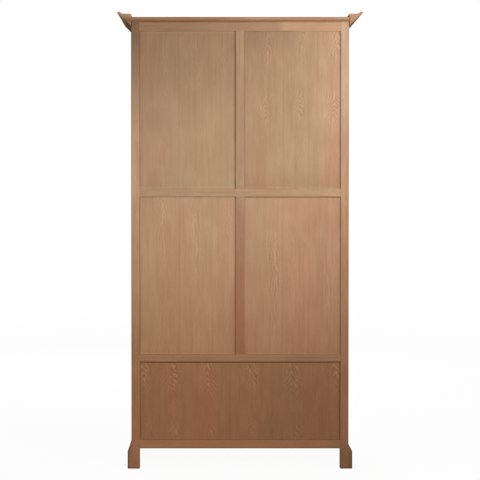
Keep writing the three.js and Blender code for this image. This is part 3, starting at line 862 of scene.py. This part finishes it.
class WARDROBE_OT_back(bpy.types.Operator):
    """Dress the frame and the veneered panels of the back"""

    bl_idname = "wardrobe.back"
    bl_label = "Framed Back"

    def execute(self, context):
        sizes = context.scene.wardrobe_sizes
        for number, (name, (tone, shades)) in enumerate(BACK_RAILS.items()):
            node = f"back_{name}_rail"
            # The lower edges of the waist and bottom rails get painted shade
            easings = [(underneath(node), sizes.arris, 2, EDGE_SHADE)] if name in ("waist", "bottom") else []
            frame_board(node, "X", 11.3 + number * 2.9, *easings, tone=tone, shades=shades)
        shades = (floorwards(), ("Z", 1.2, 1.1, (1.0, 0.9, 0.89)))
        frame_board("back_centre_stile", "Z", 23.1, tone=0.92, shades=shades)
        for node, (seed, tone, olive, framed, shades, figure) in BACK_PANELS.items():
            dressed(node, wood(node, "Z", seed, tone, figure, olive, shades, framed), "panel_wood")
        return {"FINISHED"}


SIDE_FLAMES = {
    "tall": ((-0.52, -0.36, 0.026, 0.4), (-0.1, 0.06, 0.026, 0.5), (0.34, 0.5, 0.026, 0.5)),
    "base": ((-0.13, -0.06, 0.014, 0.4), (0.03, 0.13, 0.03, 0.7)),
}


class WARDROBE_OT_sides(bpy.types.Operator):
    """Dress the rails and the veneered panels of both sides"""

    bl_idname = "wardrobe.sides"
    bl_label = "Sides"

    def execute(self, context):
        leaf = context.scene.wardrobe_sizes.leaf
        for number, (name, side) in enumerate(SIDES.items()):
            seed = 61.0 + number * 7.7
            for rail in ("top", "waist", "base"):
                frame_board(f"{name}_side_{rail}_rail", "Y", seed)
                seed += 2.3
            for panel, flames in SIDE_FLAMES.items():
                node = f"{name}_side_{panel}_panel"
                figure = veneer(leaves(leaf, 0.012 * side), flames, 0.014)
                finish = wood(node, "Z of a side", seed, 1.0, figure, 0.45, framed=SIDE_FRAME_SHADE)
                dressed(node, finish, "panel_wood")
                seed += 2.3
        return {"FINISHED"}


BOARD_SHADES = (("Z", 0.0, 1.0, (1.0, 0.93, 0.9)), ("X", -0.12, 0.2, (0.79, 0.74, 0.68)))
EAR_SHADES = {
    "left": (("Z", 1.985, 1.95, (0.9, 0.84, 0.78)),),
    "right": (("Z", 1.986, 1.962, (0.5, 0.47, 0.43)),),
}
# The painted shade under each ear at its back end, and how much it deepens with each length further forwards,
# where less light reaches the underside
EAR_UNDERSIDE_SHADE = {"left": (-0.85, 0.0), "right": (-0.1, -0.14)}
EAR_LENGTHS = 8


class WARDROBE_OT_top(bpy.types.Operator):
    """Dress the top board and the two ears"""

    bl_idname = "wardrobe.top"
    bl_label = "Top Board and Ears"

    def execute(self, context):
        sizes = context.scene.wardrobe_sizes
        node = "top_board"
        dressed(
            node, wood(node, "X", 81.2, 0.92, olive=0.3, shades=BOARD_SHADES, sheen=0.08), "frame_wood",
            # The board's lower rounded edges get painted shade, for the shadow line under its overhang
            (underneath(node), sizes.top_round, 3, -0.9),
            (on_box(node, "X"), sizes.top_round, 3, 0.0),
        )
        for number, name in enumerate(SIDES):
            self.ear(name, 86.0 + number * 4.4, sizes.ear_round)
        return {"FINISHED"}

    def ear(self, name, seed, rounding):
        """An ear, cut across into lengths so that the painted shade on its underside can deepen along it."""
        node = f"top_{name}_ear"
        low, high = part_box(node)
        step = (high.y - low.y) / EAR_LENGTHS
        ends = [high.y - step * cut for cut in range(EAR_LENGTHS)]
        bm = merged(node)
        ease(bm, sharp_edges(bm), rounding, 3)
        for end in ends[1:]:
            whole = bm.verts[:] + bm.edges[:] + bm.faces[:]
            bmesh.ops.bisect_plane(bm, geom=whole, plane_co=(0.0, end, 0.0), plane_no=(0.0, 1.0, 0.0))
        finish = wood(node, "Y", seed, figure=sawn((0.05, 0.035)), shades=EAR_SHADES[name], sheen=0.0)
        ear = finished(bm, node + "_dressed", finish, "carcass", (node,))
        first, growth = EAR_UNDERSIDE_SHADE[name]
        for cut, end in enumerate(ends):
            wear_and_shade = first + growth * cut
            marked(ear.data, lambda face: face.normal.z < -0.25 and face.center.y < end, wear_and_shade)
        # Deep painted shade on the left ear's inner face, which turns away from the lamp
        if name == "left":
            marked(ear.data, lambda face: face.normal.x > 0.8, -1.25)


class WARDROBE_OT_front(bpy.types.Operator):
    """Dress the front rails and the divider between the drawers"""

    bl_idname = "wardrobe.front"
    bl_label = "Front Frame"

    def execute(self, context):
        for number, name in enumerate(("top", "waist", "bottom")):
            frame_board(f"front_{name}_rail", "X", 97.0 + number * 3.7)
        dressed("drawer_divider", wood("drawer_divider", "Z", 108.0), "frame_wood")
        return {"FINISHED"}


class WARDROBE_OT_inside(bpy.types.Operator):
    """Dress the floors, the hat shelf, its cleats and the hanging pole"""

    bl_idname = "wardrobe.inside"
    bl_label = "Inside"

    def execute(self, context):
        for number, node in enumerate(("wardrobe_floor", "base_board", "hat_shelf")):
            inside_board(node, "X", 113.0 + number * 3.3, pith=(0.1, 0.04))
        for number, name in enumerate(SIDES):
            inside_board(f"{name}_shelf_cleat", "Y", 124.0 + number * 3.3)
        self.pole("hanging_pole", context.scene.wardrobe_sizes.shelf_arris)
        return {"FINISHED"}

    def pole(self, node, width):
        low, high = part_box(node)
        end = (high.x - low.x) / 2
        radius = (high.z - low.z) / 2
        half = ((end, 0.0), (end, radius - width), (end - width, radius))
        bm = closed(turned_bar(bmesh.new(), half, (low + high) / 2, 48))
        material = bare_wood(node, "X", 131.0, pith=(0.004, 0.03))
        finished(bm, node + "_turned", material, "carcass", (node,))


def bead_frame(outline, width, rise, base):
    """A half-round bead round a rectangle, which is its outer edge. The base is the depth that it lies at."""
    (left, right), (bottom, top) = outline
    bm = bmesh.new()
    rows = []
    for cosine, sine in arc(math.pi, steps=6):
        inset = width / 2 - width / 2 * cosine
        out = base - rise * sine
        x = (left + inset, right - inset)
        z = (bottom + inset, top - inset)
        rows.append([bm.verts.new((x[i], out, z[j])) for i, j in ((0, 0), (1, 0), (1, 1), (0, 1))])
    loops = [[bm.edges.new((row[i], row[(i + 1) % 4])) for i in range(4)] for row in rows]
    for first, second in zip(loops, loops[1:] + loops[:1]):
        bmesh.ops.bridge_loops(bm, edges=first + second)
    return closed(bm)


DOOR_FLAMES = ((-0.55, -0.38, 0.03, 0.5), (-0.16, 0.04, 0.03, 0.6), (0.3, 0.48, 0.03, 0.6))
# Each board of a door's frame, with its grain
DOOR_FRAME = {"hinge_stile": "Z", "meeting_stile": "Z", "top_rail": "X", "bottom_rail": "X"}


class WARDROBE_OT_doors(bpy.types.Operator):
    """Dress both doors and lay a bead round each panel"""

    bl_idname = "wardrobe.doors"
    bl_label = "Doors"

    def execute(self, context):
        sizes = context.scene.wardrobe_sizes
        for number, name in enumerate(SIDES):
            door = f"{name}_door"
            seed = 141.0 + number * 17.0
            for part, grain in DOOR_FRAME.items():
                node = f"{door}_{part}"
                seed += 2.1
                width = sizes.arris if part == "meeting_stile" else sizes.fine_arris
                dressed(node, wood(node, grain, seed), "frame_wood", (on_box(node, grain), width, 2))
            node = f"{door}_panel"
            figure = veneer(leaves(sizes.leaf * 1.15, 0.01), DOOR_FLAMES, 0.014)
            dressed(node, wood(node, "Z", seed + 4.0, 1.0, figure, framed=SIDE_FRAME_SHADE), "panel_wood")
            self.bead(door, sizes, seed + 6.0)
        return {"FINISHED"}

    def bead(self, door, sizes, seed):
        boxes = {part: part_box(f"{door}_{part}") for part in DOOR_FRAME}
        first, second = sorted((boxes["hinge_stile"], boxes["meeting_stile"]), key=lambda box: box[0].x)
        outline = ((first[1].x, second[0].x), (boxes["bottom_rail"][1].z, boxes["top_rail"][0].z))
        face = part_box(f"{door}_panel")[0].y
        bm = bead_frame(outline, sizes.bead_width, sizes.bead_rise, face)
        finished(bm, f"{door}_bead", wood(f"{door}_bottom_rail", "Z", seed, 0.9), door)


DRAWER_FLAMES = ((-0.16, -0.02, 0.034, 0.7), (0.08, 0.19, 0.02, 0.6))


class WARDROBE_OT_drawers(bpy.types.Operator):
    """Dress both drawers, with their beads and dovetails"""

    bl_idname = "wardrobe.drawers"
    bl_label = "Drawers"

    def execute(self, context):
        sizes = context.scene.wardrobe_sizes
        for number, name in enumerate(SIDES):
            drawer = f"{name}_drawer"
            seed = 181.0 + number * 9.0
            node = f"{drawer}_front"
            figure = veneer(leaves(0.29, -0.145), DRAWER_FLAMES, 0.014)
            edges = (on_box(node, "XZ"), sizes.arris, 2)
            dressed(node, wood(node, "X", seed, 1.04, figure), "panel_wood", edges)
            low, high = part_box(node)
            half = sizes.cock_bead / 2
            outline = ((low.x + half, high.x - half), (low.z + half, high.z - half))
            bm = bead_frame(outline, sizes.cock_bead, sizes.cock_rise, low.y)
            finished(bm, f"{drawer}_bead", wood(node, "Z", seed + 3.0, 0.82), drawer)
            inside_board(f"{drawer}_box", "XY", seed + 5.0, dovetails=True)
        return {"FINISHED"}


def way_at(angle):
    """The direction at an angle in the plane of a plate."""
    return Vector((math.cos(angle), 0.0, math.sin(angle)))


def rim(bm, centre, radius, wire, start, turn):
    """A half-round wire that runs round a plate's edge."""
    profile = [
        centre + way_at(start) * (radius - wire + wire * cosine) + Vector((0.0, -wire * sine, 0.0))
        for cosine, sine in arc(math.tau, steps=8)
    ]
    spun(bm, profile, centre, (0, 1, 0), -turn, 40)


def dome(bm, centre, radius):
    """The domed head of a pin on a plate's face."""
    rise = radius * 0.75
    curve = arc(QUARTER, steps=6)
    profile = [(centre.x + radius * cosine, centre.y - rise * sine, centre.z) for cosine, sine in curve]
    spun(bm, profile, centre, (0, 1, 0), steps=16)


PLATE_THICKNESS = 0.002
# The radius of a pull's barrel, and half its length
BARREL = 0.0036
HALF_BARREL = 0.007
# The barrel's waist, where the drop hangs, and the pin that runs through it
WAIST = 0.0031
PULL_PIN = 0.002
# A drop's outline: shares of its length with the radius there in millimetres
PULL_PROFILE = (
    (0.02, 0.0), (0.026, 1.9), (0.045, 2.5), (0.062, 2.5), (0.078, 1.9), (0.1, 2.1), (0.3, 3.0),
    (0.5, 4.6), (0.66, 6.3), (0.76, 7.2), (0.82, 7.4), (0.88, 6.9), (0.925, 5.6), (0.95, 3.6),
    (0.96, 2.3), (0.972, 2.6), (0.985, 2.3), (0.997, 1.2), (1.0, 0.0),
)


class WARDROBE_OT_brass(bpy.types.Operator):
    """Dress the brass plates with rims and pins, and turn the drop pulls"""

    bl_idname = "wardrobe.brass"
    bl_label = "Brass Plates and Pulls"

    def execute(self, context):
        sizes = context.scene.wardrobe_sizes
        plate_brass = brass("plate_brass")
        pull_brass = brass("pull_brass")
        for name, side in SIDES.items():
            for body in (f"{name}_door", f"{name}_drawer"):
                self.plate(sizes, side, body, plate_brass)
                self.pull(body, pull_brass)
        return {"FINISHED"}

    def plate(self, sizes, side, body, material):
        node = body + "_plate"
        low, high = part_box(node)
        dressed(node, material, "brass", (None, sizes.plate_arris, 2))
        centre = (low + high) / 2
        centre.y = high.y - PLATE_THICKNESS
        radius = (high.z - low.z) / 2
        if body.endswith("door"):
            # A half disc, whose straight edge lies along the door's meeting stile
            centre.x = high.x if side < 0 else low.x
            start, turn = QUARTER, -side * math.pi
            angles = [QUARTER - side * QUARTER * step for step in range(3)]
            inset = Vector((side * sizes.pin_head * 1.6, 0.0, 0.0))
        else:
            start, turn = 0.0, math.tau
            angles = [QUARTER / 2 + QUARTER * step for step in range(4)]
            inset = Vector()
        bm = bmesh.new()
        rim(bm, centre, radius, sizes.rim_radius, start, turn)
        rim(bm, centre, radius * 0.86, sizes.rim_radius * 0.5, start, turn)
        finished(closed(bm), node + "_rim", material, body)
        bm = bmesh.new()
        for angle in angles:
            spot = centre + way_at(angle) * (radius * 0.74)
            dome(bm, spot + inset * abs(math.sin(angle)), sizes.pin_head)
        finished(closed(bm), node + "_pins", material, body)

    def pull(self, body, material):
        node = body + "_pull"
        low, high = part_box(node)
        pin = (low + high) / 2
        pin.z = high.z - BARREL
        drop = pin.z - low.z
        bm = bmesh.new()
        profile = [(pin.x + radius / 1000, pin.y, pin.z - drop * share) for share, radius in PULL_PROFILE]
        spun(bm, profile, pin, (0, 0, 1))
        end = (high.x - low.x) / 2
        half = (
            (end, 0.0), (end, 0.0017), (end - 0.0004, PULL_PIN), (HALF_BARREL, PULL_PIN),
            (HALF_BARREL, 0.003), (HALF_BARREL - 0.0006, BARREL), (0.0035, BARREL), (0.0028, WAIST),
        )
        turned_bar(bm, half, pin, 24)
        finished(closed(bm), node + "_turned", material, body + "_drop", (node,))


WHITE = (1.0, 1.0, 1.0, 1.0)


class WARDROBE_OT_stage(bpy.types.Operator):
    """Set the floor, the lamps and the camera"""

    bl_idname = "wardrobe.stage"
    bl_label = "Studio"

    def execute(self, context):
        scene = context.scene
        stage = scene.wardrobe_stage
        self.floor(stage)
        self.sky(scene, stage)
        self.lamp("key_lamp", (-1.9, 3.2, 2.0), (-0.1, 0.3, 1.2), 1.1, stage.key_level)
        self.lamp("fill_lamp", (0.7, -3.9, 2.4), (0.0, -0.3, 1.1), 1.8, stage.fill_level)
        self.camera(scene, stage)
        scene.view_settings.view_transform = "Standard"
        return {"FINISHED"}

    def camera(self, scene, stage):
        camera = bpy.data.cameras.new("camera")
        camera.lens = camera.sensor_width * stage.distance / stage.view_height
        camera.shift_x = stage.shift_across
        camera.shift_y = -stage.shift_down
        holder = placed("camera", camera)
        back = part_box("back_mid_rail")[1].y
        holder.location = (stage.camera_side, back + stage.distance, stage.camera_height)
        holder.rotation_euler = (QUARTER - stage.camera_tilt, 0.0, math.pi)
        scene.camera = holder

    def lamp(self, name, spot, aim, size, level):
        """A square lamp whose light on a face turned to it, at the aim, is the given share of plain white."""
        data = bpy.data.lights.new(name, "AREA")
        data.size = size
        way = Vector(aim) - Vector(spot)
        data.energy = level * math.pi ** 2 * way.length ** 2
        holder = placed(name, data)
        holder.location = spot
        holder.rotation_euler = way.to_track_quat("-Z", "Y").to_euler()

    def seen(self, start):
        """1 where the eye or a mirror looks, and 0 for light."""
        eye, mirror, through = (
            start.node("LightPath", output=f"Is {ray} Ray") for ray in ("Camera", "Glossy", "Transmission")
        )
        return eye.maths("MAXIMUM", mirror.maths("MAXIMUM", through))

    def floor(self, stage):
        bm = bmesh.new()
        bmesh.ops.create_grid(bm, x_segments=1, y_segments=1, size=stage.floor_size / 2)
        mesh = bpy.data.meshes.new("studio_floor")
        bm.to_mesh(mesh)
        bm.free()
        floor = placed("studio_floor", mesh)
        material, place, colours = new_material("floor_paint")
        lit = place.node("BsdfDiffuse", {}, {"Color": rgba(colours.floor)})
        glow = place.node("Emission", {}, {"Color": WHITE, "Strength": 1.0})
        reach = place.maths("LENGTH", kind="VectorMath", output="Value")
        share = self.seen(place) * reach.ramp(2.0, 9.0, stage.floor_glow, 1.0)
        mixed = place.node("MixShader", {}, {0: share, 1: lit, 2: glow})
        place.node("OutputMaterial", {}, {"Surface": mixed})
        mesh.materials.append(material)

    def sky(self, scene, stage):
        world = bpy.data.worlds.new("studio")
        world.use_nodes = True
        world.node_tree.nodes.clear()
        scene.world = world
        start = Signal(world.node_tree)
        light = start.node("Background", {}, {"Color": WHITE, "Strength": stage.sky_level})
        seen = start.node("Background", {}, {"Color": WHITE, "Strength": 1.0})
        mixed = start.node("MixShader", {}, {0: self.seen(start), 1: light, 2: seen})
        start.node("OutputWorld", {}, {"Surface": mixed})


# The add-on

GROUPS = {
    "wardrobe_sizes": WardrobeSizes,
    "wardrobe_colours": WardrobeColours,
    "wardrobe_stage": WardrobeStage,
}
OPERATORS = (
    WARDROBE_OT_posts, WARDROBE_OT_back, WARDROBE_OT_sides, WARDROBE_OT_top, WARDROBE_OT_front,
    WARDROBE_OT_inside, WARDROBE_OT_doors, WARDROBE_OT_drawers, WARDROBE_OT_brass, WARDROBE_OT_stage,
)


class WARDROBE_PT_panel(bpy.types.Panel):
    """The wardrobe's pieces, sizes and colours"""

    bl_idname = "WARDROBE_PT_panel"
    bl_label = "Country Wardrobe"
    bl_space_type = "VIEW_3D"
    bl_region_type = "UI"
    bl_category = "Wardrobe"

    def draw(self, context):
        layout = self.layout
        for operator in OPERATORS:
            layout.operator(operator.bl_idname)
        for name in GROUPS:
            box = layout.box()
            group = getattr(context.scene, name)
            for field in group.__annotations__:
                box.prop(group, field)


CLASSES = (*GROUPS.values(), *OPERATORS, WARDROBE_PT_panel)


def register():
    for kind in CLASSES:
        bpy.utils.register_class(kind)
    for name, group in GROUPS.items():
        setattr(bpy.types.Scene, name, PointerProperty(type=group))


def unregister():
    for name in GROUPS:
        delattr(bpy.types.Scene, name)
    for kind in reversed(CLASSES):
        bpy.utils.unregister_class(kind)


def main():
    register()
    bpy.ops.wardrobe.posts()
    bpy.ops.wardrobe.back()
    bpy.ops.wardrobe.sides()
    bpy.ops.wardrobe.top()
    bpy.ops.wardrobe.front()
    bpy.ops.wardrobe.inside()
    bpy.ops.wardrobe.doors()
    bpy.ops.wardrobe.drawers()
    bpy.ops.wardrobe.brass()
    bpy.ops.wardrobe.stage()


if __name__ == "__main__":
    main()
